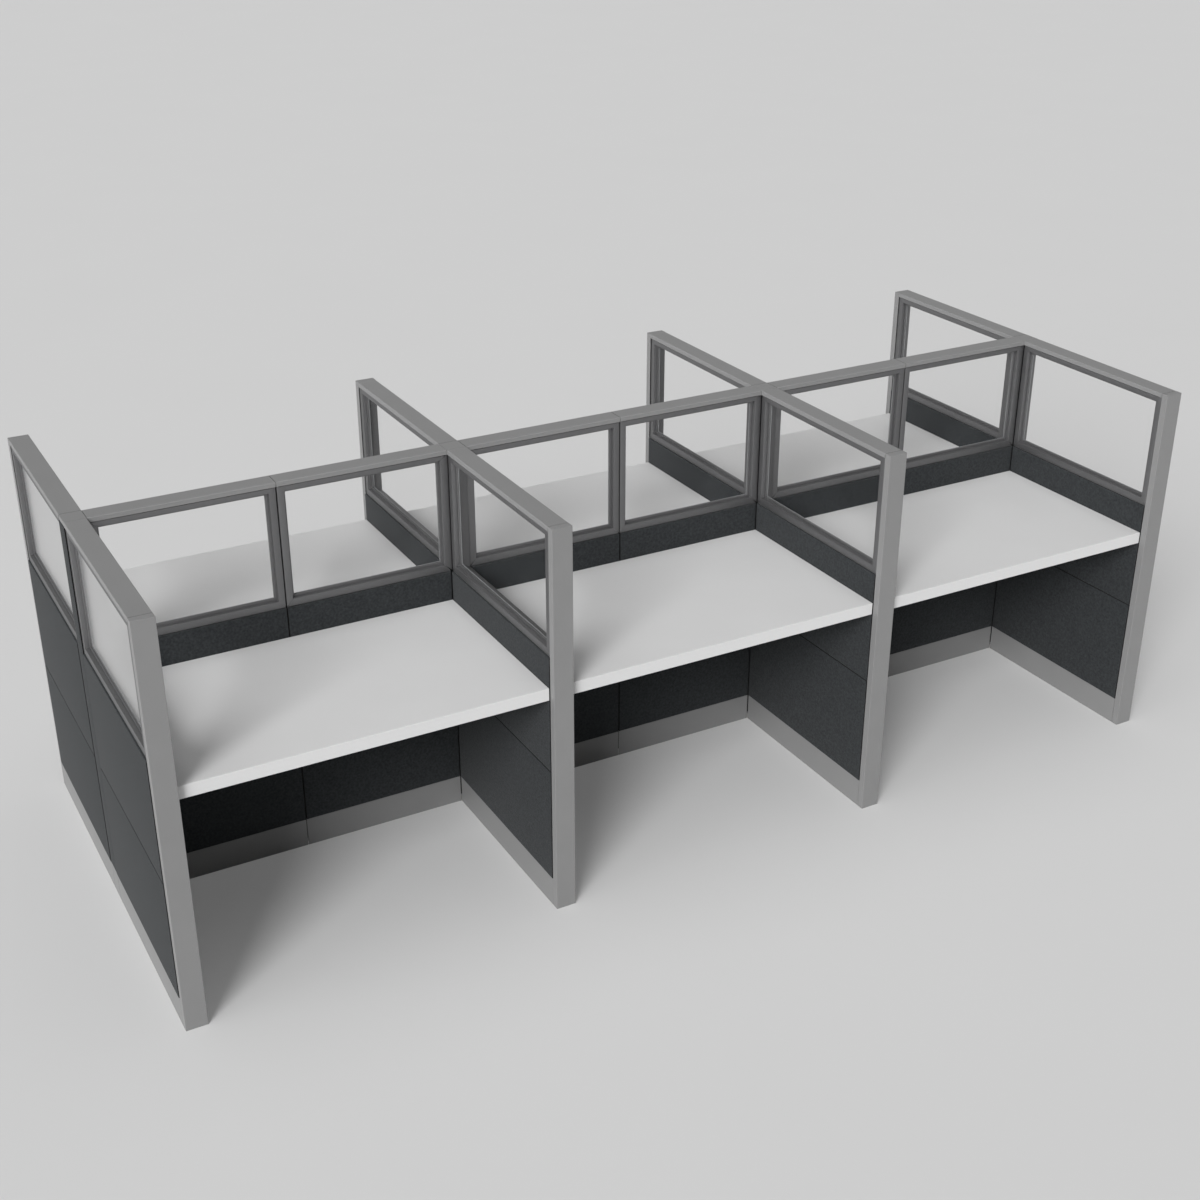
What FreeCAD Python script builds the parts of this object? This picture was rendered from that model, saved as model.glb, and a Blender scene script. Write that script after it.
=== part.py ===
import FreeCAD, Part
import Sketcher
import os
import re

# Cluster of six open office cubicles: a glazed spine wall with four wing walls across it, and a
# worksurface in each bay. Millimetres, +Z up, +X along the spine. The origin is on the floor at the
# centre of the spine. The rows of cubicles face -Y and +Y.

doc = FreeCAD.newDocument("CubicleCluster")
sheet = doc.addObject("Spreadsheet::Sheet", "Sizes")

SIZES = {
    # Whole cluster
    "bay_pitch": 1121.0,          # one wing line to the next
    "wing_reach": 708.0,          # spine centre line to a wing's free end
    "panel_height": 1228.0,
    "trim_width": 62.0,           # across a cap or an end trim
    "base_height": 94.0,          # top of the base covers
    "belt_level": 833.0,          # top of the tiles, underside of the windows
    # Steel frame inside the panels
    "frame_thick": 38.0,
    "upright_width": 30.0,
    "rail_height": 40.0,
    "tube_wall": 2.0,
    "foot_clear": 18.0,           # floor to the lower end of the uprights
    # Fabric tiles and post covers
    "tile_proud": 2.0,            # tile face beyond the trim face
    "tile_gap": 3.0,              # level seam between two tiles
    "tile_edge": 2.0,             # bevel round a tile's face
    "tile_corner_gap": 4.0,       # tile end to the corner line of a crossing
    "post_set_back": 1.0,         # post cover face behind the tile faces
    "seam_half": 2.0,             # panel end to the middle of an upright seam
    # Base covers
    "cover_wall": 1.5,
    "cover_foot": 8.0,            # lower return of the fold
    "cover_gap": 1.0,             # cover to its neighbours at each end
    # Top caps, post caps and end trims
    "cap_lip": 14.5,
    "cap_wall": 2.0,
    "cap_bevel": 1.5,
    "trim_lip": 24.3,
    "trim_wall": 2.0,
    "trim_gap": 1.0,              # tile or cap end to the end trim
    # Windows
    "window_inset": 2.5,          # window frame face behind the trim face
    "window_face": 20.0,
    "window_step": 13.0,          # depth of the outer step of the section
    "window_rib": 7.5,            # height of the inner rib over the outer step
    "window_wall": 2.0,
    "window_corner_gap": 2.0,     # window end to the corner line of a crossing
    "sill_drop": 2.5,             # skirt of the sill under the mitred ring
    "rebate_height": 4.5,         # shadow groove along the head, under the cap's lip
    "rebate_depth": 9.0,
    "cap_overlap": 2.5,           # window ring hidden by the cap's lip
    "trim_reveal": 3.0,           # open joint between the window ring and the end trim's lip
    "groove_depth": 18.5,
    "glass_offset": 5.0,          # glass nearer to the stepped side than the middle of the wall
    "bead_height": 4.0,           # sloped bead behind the glass, over the floor of the groove
    "bead_edge": 1.0,             # height of the bead's outer edge
    "glass_thick": 6.0,
    "gasket_wall": 2.0,
    "gasket_lip": 1.0,            # gasket seen above the rib
    # Worksurfaces
    "desk_height": 737.0,
    "desk_thick": 38.0,
    "desk_gap": 1.0,
    "edge_band": 2.0,
    # Cantilever brackets and side support angles
    "arm_thick": 2.5,
    "arm_reach": 470.0,           # tile face to the tip of the arm
    "arm_root": 120.0,
    "arm_tip": 35.0,
    "arm_flange": 40.0,
    "arm_plate": 3.0,             # thickness of the flange that carries the worksurface
    "hook_height": 14.0,
    "hook_drop": 8.0,
    "hook_pitch": 60.0,
    "hook_play": 0.5,             # slot over hook, each way
    "angle_leg": 40.0,
    "angle_thick": 3.0,
    "angle_length": 400.0,
    # Levelling glides
    "pad_radius": 14.0,           # over the corners of the hexagon foot
    "pad_height": 6.0,
    "stem_radius": 5.0,
    "stem_length": 60.0,
    "stem_play": 0.3,
    "socket_height": 12.0,
    # Cutters run past the faces they open by this much
    "overrun": 5.0,
}
for row, (alias, number) in enumerate(SIZES.items(), start=1):
    sheet.set(f"A{row}", alias)
    sheet.set(f"B{row}", str(number))
    sheet.setAlias(f"B{row}", alias)
doc.recompute()

BAYS = 3
WINGS = BAYS + 1

# Places worked out from the sizes
FRAME_HALF = "frame_thick / 2"
TRIM_HALF = "trim_width / 2"
TILE_HALF = f"({TRIM_HALF} + tile_proud)"
TILE_DEPTH = f"({TILE_HALF} - {FRAME_HALF})"
WINDOW_HALF = f"({TRIM_HALF} - window_inset)"
RIB_HALF = f"({WINDOW_HALF} - window_step)"
GROOVE_NEAR = "(glass_offset + glass_thick / 2 + gasket_wall)"
GROOVE_FAR = "(glass_thick / 2 + gasket_wall - glass_offset)"
RIB_TOP = "(window_face + window_rib)"
GROOVE_FLOOR = f"({RIB_TOP} - groove_depth)"
BEAD_TOP = f"({GROOVE_FLOOR} + bead_height)"
CAP_UNDER = "(panel_height - cap_wall)"
RING_LOW = "(belt_level + sill_drop)"
RING_HIGH = "(panel_height - cap_lip + cap_overlap)"
DESK_UNDER = "(desk_height - desk_thick)"
DESK_FRONT = "(wing_reach - trim_lip)"
TILE_HEIGHT = "((belt_level - base_height) / 2 - tile_gap)"
POST_REACH = f"({TRIM_HALF} - {FRAME_HALF})"

# A panel grows along its own +X from the corner line of a crossing to its far end
SPINE_LENGTH = "(bay_pitch / 2 - trim_width / 2)"
WING_LENGTH = "(wing_reach - trim_width / 2)"


def full(formula):
    """Put the sheet's name before each size in a formula."""
    return re.sub(r"[a-z][a-z_]+", lambda found: f"Sizes.{found.group()}", str(formula))


def bind(thing, **formulas):
    """Tie properties to formulas of sizes; a double underscore stands for a dot."""
    for prop, formula in formulas.items():
        thing.setExpression(prop.replace("__", "."), full(formula))


def value(formula):
    return float(sheet.evalExpression(full(formula)))


def place(thing, x="0", y="0", z="0", turn=0, about=(0, 0, 1)):
    """Turn a piece, then move it to a point given by formulas."""
    spin = FreeCAD.Rotation(FreeCAD.Vector(*about), turn)
    thing.Placement = FreeCAD.Placement(FreeCAD.Vector(), spin)
    bind(thing, Placement__Base__x=x, Placement__Base__y=y, Placement__Base__z=z)
    return thing


def box(name, x, y, z):
    """A block between the low and high formulas of each axis."""
    block = doc.addObject("Part::Box", name)
    lows, sides = zip(*((low, f"({high}) - ({low})") for low, high in (x, y, z)))
    bind(block, Length=sides[0], Width=sides[1], Height=sides[2])
    return place(block, *lows)


def cut(name, base, *tools):
    """Take each tool away from a piece."""
    for number, tool in enumerate(tools, start=1):
        rest = doc.addObject("Part::Cut", f"{name}_cut_{number}")
        rest.Base = base
        rest.Tool = tool
        base = rest
    return base


def tube(name, x, y, z, along):
    """A rectangular tube, open at both ends of its long axis."""
    hollow = [
        (f"({low}) - overrun", f"({high}) + overrun") if axis == along
        else (f"({low}) + tube_wall", f"({high}) - tube_wall")
        for axis, (low, high) in zip("xyz", (x, y, z))
    ]
    return cut(name, box(f"{name}_outer", x, y, z), box(f"{name}_inner", *hollow))


def copy(source, **where):
    """Another of the same piece at its own place."""
    link = doc.addObject("App::Link", f"{source.Name}_copy")
    link.LinkedObject = source
    return place(link, **where)


def group(name, pieces):
    """Separate pieces kept together under one name."""
    gathered = doc.addObject("Part::Compound", name)
    gathered.Links = pieces
    return gathered


def sketch_on(body, name, role):
    plane = next(each for each in body.Origin.OriginFeatures if each.Role == role)
    sketch = body.newObject("Sketcher::SketchObject", name)
    sketch.AttachmentSupport = [(plane, "")]
    sketch.MapMode = "FlatFace"
    return sketch


def outline(sketch, points):
    """Close a polygon whose corners are held at their formulas from the sketch's origin."""
    first = sketch.GeometryCount
    count = len(points)
    spots = [FreeCAD.Vector(value(across), value(up), 0) for across, up in points]
    for index, spot in enumerate(spots):
        sketch.addGeometry(Part.LineSegment(spot, spots[(index + 1) % count]), False)
    for index, (spot, (across, up)) in enumerate(zip(spots, points)):
        following = first + (index + 1) % count
        sketch.addConstraint(Sketcher.Constraint("Coincident", first + index, 2, following, 1))
        for kind, formula, number in (("DistanceX", across, spot.x), ("DistanceY", up, spot.y)):
            rule = Sketcher.Constraint(kind, -1, 1, first + index, 1, number)
            sketch.setExpression(f"Constraints[{sketch.addConstraint(rule)}]", full(formula))


def extrusion(name, role, loops, length, side="One side"):
    """A body padded from closed outlines on one of its own planes."""
    body = doc.addObject("PartDesign::Body", name)
    profile = sketch_on(body, f"{name}_profile", role)
    for points in loops:
        outline(profile, points)
    pad = body.newObject("PartDesign::Pad", f"{name}_pad")
    pad.Profile = profile
    pad.SideType = side
    bind(pad, Length=length)
    doc.recompute()
    return body


def rectangle(low, high):
    return [(low[0], low[1]), (high[0], low[1]), (high[0], high[1]), (low[0], high[1])]


# Fabric tile: a wrapped board with a bevel round its face, standing on the frame's front
def tile(name, start, end, height, depth=TILE_DEPTH):
    body = extrusion(name, "XZ_Plane", [rectangle((start, "0"), (end, height))], depth)
    pad = body.Tip
    faces = pad.Shape.Faces
    front = min(range(len(faces)), key=lambda index: faces[index].CenterOfMass.y)
    bevel = body.newObject("PartDesign::Chamfer", f"{name}_bevel")
    bevel.Base = (pad, [f"Face{front + 1}"])
    bind(bevel, Size="tile_edge")
    return place(body, y=f"-({FRAME_HALF})")


# Two tiles on each side of a panel
def tile_set(line, end):
    start = "tile_corner_gap"
    one = tile(f"{line}_tile", start, end, TILE_HEIGHT)
    levels = ("base_height + tile_gap / 2",
              f"base_height + tile_gap * 1.5 + {TILE_HEIGHT}")
    copies = []
    for level in levels:
        copies.append(copy(one, y=f"-({FRAME_HALF})", z=level))
        copies.append(copy(one, x=f"{start} + {end}", y=FRAME_HALF, z=level, turn=180))
    return group(f"{line}_tile_set", copies)


# Mitred length of the window section: a stepped face on the near side, a glazing groove and a low sloped
# bead on the far side, with a hollow chamber in each. It runs along +X, its near side is -Y, and its own
# +Z points into the window. The skirt lies outside the mitred ring, and a rebated length stands back from
# its face as far as the rebate reaches into the ring.
def window_length(name, length, skirt, rebated=False):
    below = f"-({skirt})"
    low = f"window_wall - ({skirt})"
    section = [(f"-{WINDOW_HALF}", below)]
    if rebated:
        neck = f"rebate_depth - {WINDOW_HALF}"
        low = "window_wall + rebate_height"
        section = [(neck, below), (neck, "rebate_height"), (f"-{WINDOW_HALF}", "rebate_height")]
    bead = f"({GROOVE_FAR} + window_wall)"
    section += [
        (f"-{WINDOW_HALF}", "window_face"),
        (f"-{RIB_HALF}", "window_face"),
        (f"-{RIB_HALF}", RIB_TOP),
        (f"-{GROOVE_NEAR}", RIB_TOP),
        (f"-{GROOVE_NEAR}", GROOVE_FLOOR),
        (GROOVE_FAR, GROOVE_FLOOR),
        (GROOVE_FAR, BEAD_TOP),
        (bead, BEAD_TOP),
        (WINDOW_HALF, "bead_edge"),
        (WINDOW_HALF, below),
    ]
    chambers = [
        rectangle((f"window_wall - {WINDOW_HALF}", low),
                  (f"-({GROOVE_NEAR} + window_wall)", "window_face - window_wall")),
        [(bead, "window_wall"), (f"{WINDOW_HALF} - window_wall * 3", "window_wall"),
         (bead, f"{BEAD_TOP} - window_wall")],
    ]
    body = extrusion(name, "YZ_Plane", [section] + chambers, length)
    mitre = sketch_on(body, f"{name}_mitre", "XZ_Plane")
    tip = f"({RIB_TOP} + overrun)"
    outline(mitre, [("0", "0"), (tip, tip), ("-overrun", tip), ("-overrun", "0")])
    outline(mitre, [(length, "0"), (f"{length} + overrun", "0"),
                    (f"{length} + overrun", tip), (f"{length} - {tip}", tip)])
    ends = body.newObject("PartDesign::Pocket", f"{name}_mitre_cut")
    ends.Profile = mitre
    ends.Type = "ThroughAll"
    ends.SideType = "Symmetric"
    doc.recompute()
    return body


# Sill, head and two stiles round one window
def window_set(line, start, end):
    width = f"({end} - {start})"
    height = f"({RING_HIGH} - {RING_LOW})"
    sill = window_length(f"{line}_sill", width, "sill_drop")
    head = window_length(f"{line}_head", width, f"{CAP_UNDER} - {RING_HIGH}", rebated=True)
    stile = window_length(f"{line}_stile", height, "0")
    across = (0, 1, 0)
    return group(f"{line}_window_set", [
        copy(sill, x=start, z=RING_LOW),
        copy(head, x=end, z=RING_HIGH, turn=180, about=across),
        copy(stile, x=start, z=RING_HIGH, turn=90, about=across),
        copy(stile, x=end, z=RING_LOW, turn=-90, about=across),
    ])


# A block that fills the window ring to a given depth from the ring's outer line
def ring_block(name, start, end, depth, across):
    return box(name, (f"{start} + {depth}", f"{end} - ({depth})"), across,
               (f"{RING_LOW} + {depth}", f"{RING_HIGH} - ({depth})"))


# Glass pane and the channel gasket that seats it in the groove, lower on the side of the bead
PANE = ("-glass_thick / 2 - glass_offset", "glass_thick / 2 - glass_offset")


def glass_set(line, start, end):
    pane = ring_block(f"{line}_glass_pane", start, end, f"{GROOVE_FLOOR} + gasket_wall", PANE)
    return group(f"{line}_glass_set", [pane])


def gasket_set(line, start, end):
    strip = ring_block(f"{line}_gasket_strip", start, end, GROOVE_FLOOR, (f"-{GROOVE_NEAR}", GROOVE_FAR))
    past = f"{GROOVE_FAR} + overrun"
    sight = ring_block(f"{line}_gasket_sight", start, end, f"{RIB_TOP} + gasket_lip",
                       (f"-({GROOVE_NEAR} + overrun)", past))
    slot = ring_block(f"{line}_gasket_slot", start, end, f"{GROOVE_FLOOR} + gasket_wall", PANE)
    low_side = ring_block(f"{line}_gasket_low_side", start, end, f"{BEAD_TOP} + gasket_lip",
                          (PANE[1], past))
    return cut(f"{line}_gasket", strip, sight, slot, low_side)


# Lipped channel over the head of a panel, with eased upper edges
def cap_set(line, start, end):
    top = "panel_height"
    lip = "panel_height - cap_lip"
    eased = f"{TRIM_HALF} - cap_bevel"
    inner = f"{TRIM_HALF} - cap_wall"
    right = [(eased, top), (TRIM_HALF, "panel_height - cap_bevel"), (TRIM_HALF, lip),
             (inner, lip), (inner, CAP_UNDER)]
    left = [(f"-({across})", up) for across, up in reversed(right)]
    body = extrusion(f"{line}_cap", "YZ_Plane", [left + right], f"{end} - ({start})")
    return group(f"{line}_cap_set", [place(body, x=start)])


# Folded base cover: a face down to the floor, a return to the frame at the top and a short one below
def base_cover(name, start, end):
    face = f"-({TRIM_HALF})"
    back = f"cover_wall - {TRIM_HALF}"
    rest = f"-({FRAME_HALF})"
    toe = f"cover_foot - {TRIM_HALF}"
    fold = "base_height - cover_wall"
    section = [(face, "0"), (toe, "0"), (toe, "cover_wall"), (back, "cover_wall"), (back, fold),
               (rest, fold), (rest, "base_height"), (face, "base_height")]
    return place(extrusion(name, "YZ_Plane", [section], f"{end} - ({start})"), x=start)


def cover_set(line, end):
    start = "(cover_gap * 2)"
    front = base_cover(f"{line}_cover", start, end)
    back = copy(front, x=end, turn=180)
    return group(f"{line}_cover_set", [front, back])


# Welded steel frame under the windows: an upright at each end and three rails between them
def frame_set(line, end):
    start = f"-{POST_REACH}"
    thick = (f"-({FRAME_HALF})", FRAME_HALF)
    inner = (f"{start} + upright_width", f"{end} - upright_width")
    pieces = []
    for side, low in (("near", start), ("far", f"{end} - upright_width")):
        pieces.append(tube(f"{line}_{side}_upright", (low, f"{low} + upright_width"), thick,
                           ("foot_clear", "belt_level"), "z"))
    seam = "(base_height + belt_level) / 2"
    rails = {
        "bottom": "base_height",
        "middle": f"{seam} - rail_height / 2",
        "belt": "belt_level - rail_height",
    }
    for level, low in rails.items():
        pieces.append(tube(f"{line}_{level}_rail", inner, thick, (low, f"{low} + rail_height"), "x"))
    return group(f"{line}_frame_set", pieces)


# The sets of pieces of one spine panel and of one wing panel
WINDOW_START = "window_corner_gap"
SPINE_WINDOW_END = f"({SPINE_LENGTH} - seam_half)"
WING_WINDOW_END = f"({WING_LENGTH} - trim_lip - trim_reveal)"
SETS = {
    "spine": {
        "tiles": tile_set("spine", f"({SPINE_LENGTH} - seam_half)"),
        "window_frames": window_set("spine", WINDOW_START, SPINE_WINDOW_END),
        "glass": glass_set("spine", WINDOW_START, SPINE_WINDOW_END),
        "gaskets": gasket_set("spine", WINDOW_START, SPINE_WINDOW_END),
        "top_caps": cap_set("spine", "cover_gap / 2", f"{SPINE_LENGTH} - cover_gap / 2"),
        "base_covers": cover_set("spine", f"({SPINE_LENGTH} - cover_gap)"),
        "panel_frames": frame_set("spine", f"({SPINE_LENGTH} - upright_width / 2)"),
    },
    "wing": {
        "tiles": tile_set("wing", f"({WING_LENGTH} - trim_lip - trim_gap)"),
        "window_frames": window_set("wing", WINDOW_START, WING_WINDOW_END),
        "glass": glass_set("wing", WINDOW_START, WING_WINDOW_END),
        "gaskets": gasket_set("wing", WINDOW_START, WING_WINDOW_END),
        "top_caps": cap_set("wing", "cover_gap / 2", f"{WING_LENGTH} - trim_lip - cover_gap / 2"),
        "base_covers": cover_set("wing", f"({WING_LENGTH} - trim_lip - cover_gap)"),
        "panel_frames": frame_set("wing", f"({WING_LENGTH} - trim_wall)"),
    },
}

# The same windows with their two sides exchanged
for line, pieces in SETS.items():
    for kind in ("window_frames", "glass", "gaskets"):
        other = doc.addObject("Part::Mirroring", f"{line}_{kind}_exchanged")
        other.Source = pieces[kind]
        other.Normal = FreeCAD.Vector(0, 1, 0)
        pieces[f"{kind}_exchanged"] = other


def wing_x(number):
    """Place of a wing line along the spine, counted from the left."""
    return f"(bay_pitch * {number - BAYS / 2})"


# Where each panel starts and which way it runs from its crossing
SPINE_PANELS = []
for bay in range(BAYS):
    SPINE_PANELS.append({"x": f"{wing_x(bay)} + {TRIM_HALF}", "turn": 0})
    SPINE_PANELS.append({"x": f"{wing_x(bay + 1)} - {TRIM_HALF}", "turn": 180})
WING_PANELS = [
    [{"x": wing_x(wing), "y": f"-({TRIM_HALF})", "turn": -90},
     {"x": wing_x(wing), "y": TRIM_HALF, "turn": 90}]
    for wing in range(WINGS)
]
ALL_WINGS = [panel for pair in WING_PANELS for panel in pair]

nodes = {}


def node(name, pieces):
    """A named sub-part of the cluster."""
    nodes[name] = group(name, pieces)
    nodes[name].Label = name


def copies(source, places):
    return [copy(source, **where) for where in places]


def sided(line, kind, places):
    """Copies with the stepped side of every window towards -X or -Y."""
    pieces = SETS[line]
    return [copy(pieces[kind if where["turn"] <= 0 else f"{kind}_exchanged"], **where) for where in places]


for kind in ("tiles", "top_caps", "base_covers"):
    node(f"spine_{kind}", copies(SETS["spine"][kind], SPINE_PANELS))
    for wing, pair in enumerate(WING_PANELS, start=1):
        node(f"wing_{wing}_{kind}", copies(SETS["wing"][kind], pair))
node("spine_panel_frames", copies(SETS["spine"]["panel_frames"], SPINE_PANELS))
node("wing_panel_frames", copies(SETS["wing"]["panel_frames"], ALL_WINGS))
node("spine_window_frames", sided("spine", "window_frames", SPINE_PANELS))
for wing, pair in enumerate(WING_PANELS, start=1):
    node(f"wing_{wing}_window_frames", sided("wing", "window_frames", pair))
node("spine_glass", sided("spine", "glass", SPINE_PANELS))
node("wing_glass", sided("wing", "glass", ALL_WINGS))
node("glazing_gaskets", sided("spine", "gaskets", SPINE_PANELS) + sided("wing", "gaskets", ALL_WINGS))

# End trim: a channel over the free end of a wing, closed at the top and open towards the panel
trim_back = f"({WING_LENGTH} - trim_lip)"
trim_inner = f"({TRIM_HALF} - trim_wall)"
end_trim = cut(
    "end_trim",
    box("end_trim_block", (trim_back, WING_LENGTH), (f"-({TRIM_HALF})", TRIM_HALF),
        ("0", "panel_height")),
    box("end_trim_hollow", (f"{trim_back} - overrun", f"{WING_LENGTH} - trim_wall"),
        (f"-{trim_inner}", trim_inner), ("-overrun", CAP_UNDER)),
)
for wing, pair in enumerate(WING_PANELS, start=1):
    node(f"wing_{wing}_end_trims", copies(end_trim, pair))

# Crossing posts: square tubes from the glides up to the post caps
CROSSINGS = [{"x": wing_x(wing)} for wing in range(WINGS)]
square = (f"-({FRAME_HALF})", FRAME_HALF)
post = tube("post", square, square, ("foot_clear", CAP_UNDER), "z")
node("crossing_posts", copies(post, CROSSINGS))

# Post caps: lipped squares flush with the top caps
cap_half = f"({TRIM_HALF} - cover_gap / 2)"
cap_inner = f"({cap_half} - cap_wall)"
post_cap = cut(
    "post_cap",
    box("post_cap_block", (f"-{cap_half}", cap_half), (f"-{cap_half}", cap_half),
        ("panel_height - cap_lip", "panel_height")),
    box("post_cap_hollow", (f"-{cap_inner}", cap_inner), (f"-{cap_inner}", cap_inner),
        ("panel_height - cap_lip - overrun", CAP_UNDER)),
)
node("post_caps", copies(post_cap, CROSSINGS))

# Fabric covers, set back a little, and short base covers on the outer side of the two end posts
END_POSTS = [{"x": wing_x(0), "turn": -90}, {"x": wing_x(BAYS), "turn": 90}]
post_cover = tile("post_cover", f"-({TRIM_HALF})", TRIM_HALF,
                  "panel_height - cap_lip - base_height - tile_gap", f"{TILE_DEPTH} - post_set_back")
post_cover = group("post_cover_place", [place(post_cover, y=f"-({FRAME_HALF})",
                                              z="base_height + tile_gap / 2")])
node("post_covers", copies(post_cover, END_POSTS))
post_base = base_cover("post_base", f"cover_gap - {TRIM_HALF}", f"{TRIM_HALF} - cover_gap")
node("post_base_covers", copies(group("post_base_place", [post_base]), END_POSTS))

# Cantilever bracket: a tapered blade hooked into the connector through the seam of the tiles, with a
# flange on top that is screwed to the worksurface. Its own origin is on the spine, below the seam.
arm_top = f"({DESK_UNDER} - arm_plate)"
arm_back = f"-({FRAME_HALF})"
arm_end = f"-({TILE_HALF} + arm_reach)"
hook_tip = f"hook_play + tube_wall + arm_plate - {FRAME_HALF}"
hook_neck = f"hook_play + tube_wall - {FRAME_HALF}"


def hook(top):
    """Corners of one hook, from its upper root round its tip to its lower root."""
    return [
        (arm_back, top),
        (hook_tip, top),
        (hook_tip, f"{top} - hook_height - hook_drop"),
        (hook_neck, f"{top} - hook_height - hook_drop"),
        (hook_neck, f"{top} - hook_height"),
        (arm_back, f"{top} - hook_height"),
    ]


hook_tops = [f"({arm_top} - hook_drop)", f"({arm_top} - hook_drop - hook_pitch)"]
blade = [(arm_end, arm_top), (arm_back, arm_top)]
for top in hook_tops:
    blade += hook(top)
blade += [(arm_back, f"{arm_top} - arm_root"), (arm_end, f"{arm_top} - arm_tip")]
arm = extrusion("arm_blade", "YZ_Plane", [blade], "arm_thick", "Symmetric")
flange = sketch_on(arm, "arm_flange_outline", "XY_Plane")
bind(flange, AttachmentOffset__Base__z=arm_top)
outline(flange, rectangle(("-arm_flange / 2", arm_end),
                          ("arm_flange / 2", f"-({TILE_HALF} + desk_gap)")))
plate = arm.newObject("PartDesign::Pad", "arm_flange_pad")
plate.Profile = flange
bind(plate, Length="arm_plate")

# Side support angle: one leg on the wing's tiles, the other under the worksurface
angle_front = f"({DESK_FRONT} / 2 + {TILE_HALF} / 2 + angle_length / 2)"
angle_near = TILE_HALF
angle_section = [
    (angle_near, DESK_UNDER),
    (angle_near, f"{DESK_UNDER} - angle_leg"),
    (f"{angle_near} + angle_thick", f"{DESK_UNDER} - angle_leg"),
    (f"{angle_near} + angle_thick", f"{DESK_UNDER} - angle_thick"),
    (f"{angle_near} + angle_leg", f"{DESK_UNDER} - angle_thick"),
    (f"{angle_near} + angle_leg", DESK_UNDER),
]
angle = extrusion("angle", "XZ_Plane", [angle_section], "angle_length")
angle_turned = f"-({DESK_FRONT} + {TILE_HALF})"
angle_back = f"angle_length - {angle_front}"
angle_pair = group("angle_pair", [
    place(angle, y=angle_back),
    copy(angle, x="bay_pitch", y=f"{angle_turned} - ({angle_back})", turn=180),
])

# Worksurface: a board with a band on its front edge, between two wings and the spine. A bay's own
# origin is at the crossing on its left as one sits in it.
desk_sides = (f"{TILE_HALF} + desk_gap", f"bay_pitch - {TILE_HALF} - desk_gap")
desk_levels = (DESK_UNDER, "desk_height")
board = box("board", desk_sides, (f"edge_band - {DESK_FRONT}", f"-({TILE_HALF} + desk_gap)"),
            desk_levels)
band = box("band", desk_sides, (f"-{DESK_FRONT}", f"edge_band - {DESK_FRONT}"), desk_levels)
FRONT_BAYS = [{"x": wing_x(bay), "turn": 0} for bay in range(BAYS)]
BACK_BAYS = [{"x": wing_x(bay + 1), "turn": 180} for bay in range(BAYS)]
BAY_PLACES = FRONT_BAYS + BACK_BAYS
board_place = group("board_place", [board])
for number, where in enumerate(BAY_PLACES, start=1):
    node(f"worksurface_{number}", [copy(board_place, **where)])
node("worksurface_edges", copies(group("band_place", [band]), BAY_PLACES))
arm_place = group("arm_place", [place(arm, x="bay_pitch / 2")])
node("cantilever_brackets", copies(arm_place, BAY_PLACES))
node("side_support_angles", copies(angle_pair, BAY_PLACES))

# Inline connectors: tubes between the two panels of a spine bay, slotted for the brackets' hooks
MIDDLES = [{"x": f"{wing_x(bay)} + bay_pitch / 2"} for bay in range(BAYS)]
connector = tube("connector", ("-upright_width / 2", "upright_width / 2"), square,
                 ("foot_clear", "belt_level"), "z")
slot_half = "(arm_thick / 2 + hook_play)"
slots = [
    box(f"connector_slot_{number}", (f"-{slot_half}", slot_half),
        (f"-({FRAME_HALF}) - overrun", f"{FRAME_HALF} + overrun"),
        (f"{top} - hook_height - hook_drop - hook_play", f"{top} + hook_play"))
    for number, top in enumerate(hook_tops, start=1)
]
node("inline_connectors", copies(cut("connector_slotted", connector, *slots), MIDDLES))

# Levelling glides and the threaded sockets in the feet of the posts, connectors and wing ends. A glide
# has a hexagon foot. Its stem and the bore that it turns in are drawn with flats in place of the thread.
STEM_SIDES = 8
socket_levels = ("foot_clear", "foot_clear + socket_height")


def prism(name, sides, radius, low, height):
    """An upright bar of equal sides, measured over its corners."""
    bar = doc.addObject("Part::Prism", name)
    bar.Polygon = sides
    bind(bar, Circumradius=radius, Height=height)
    return place(bar, z=low)


def socket(name, half_x, half_y):
    """A plug in the foot of a tube, bored for the stem."""
    plug = box(f"{name}_plug", (f"-({half_x})", half_x), (f"-({half_y})", half_y), socket_levels)
    bore = prism(f"{name}_bore", STEM_SIDES, "stem_radius + stem_play", "foot_clear - overrun",
                 "socket_height + overrun * 2")
    return cut(name, plug, bore)


inside = f"{FRAME_HALF} - tube_wall"
upright_inside = "upright_width / 2 - tube_wall"
post_socket = group("post_socket_place", [socket("post_socket", inside, inside)])
upright_socket = group("upright_socket_place", [socket("upright_socket", upright_inside, inside)])
foot_reach = "(wing_reach - trim_wall - upright_width / 2)"
WING_ENDS = [{"x": wing_x(wing), "y": f"{side}{foot_reach}"} for wing in range(WINGS) for side in "-+"]
node("glide_sockets", copies(post_socket, CROSSINGS) + copies(upright_socket, MIDDLES)
     + copies(upright_socket, [dict(end, turn=90) for end in WING_ENDS]))

glide = doc.addObject("Part::Fuse", "glide")
glide.Base = prism("glide_foot", 6, "pad_radius", "0", "pad_height")
glide.Tool = prism("glide_stem", STEM_SIDES, "stem_radius", "pad_height", "stem_length")
for number, where in enumerate(CROSSINGS, start=1):
    node(f"post_glide_{number}", [copy(glide, **where)])
for number, where in enumerate(MIDDLES, start=1):
    node(f"spine_glide_{number}", [copy(glide, **where)])
for number, where in enumerate(WING_ENDS):
    side = "back" if number % 2 else "front"
    node(f"wing_{number // 2 + 1}_{side}_glide", [copy(glide, **where)])

doc.recompute()
for thing in doc.Objects:
    faults = {"Invalid", "Error"} & set(thing.State)
    if faults:
        raise RuntimeError(f"{thing.Label} failed: {thing.State}")
for name, thing in nodes.items():
    if thing.Shape.isNull() or not thing.Shape.isValid() or not thing.Shape.Solids:
        raise RuntimeError(f"{name} has no sound shape")

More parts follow.
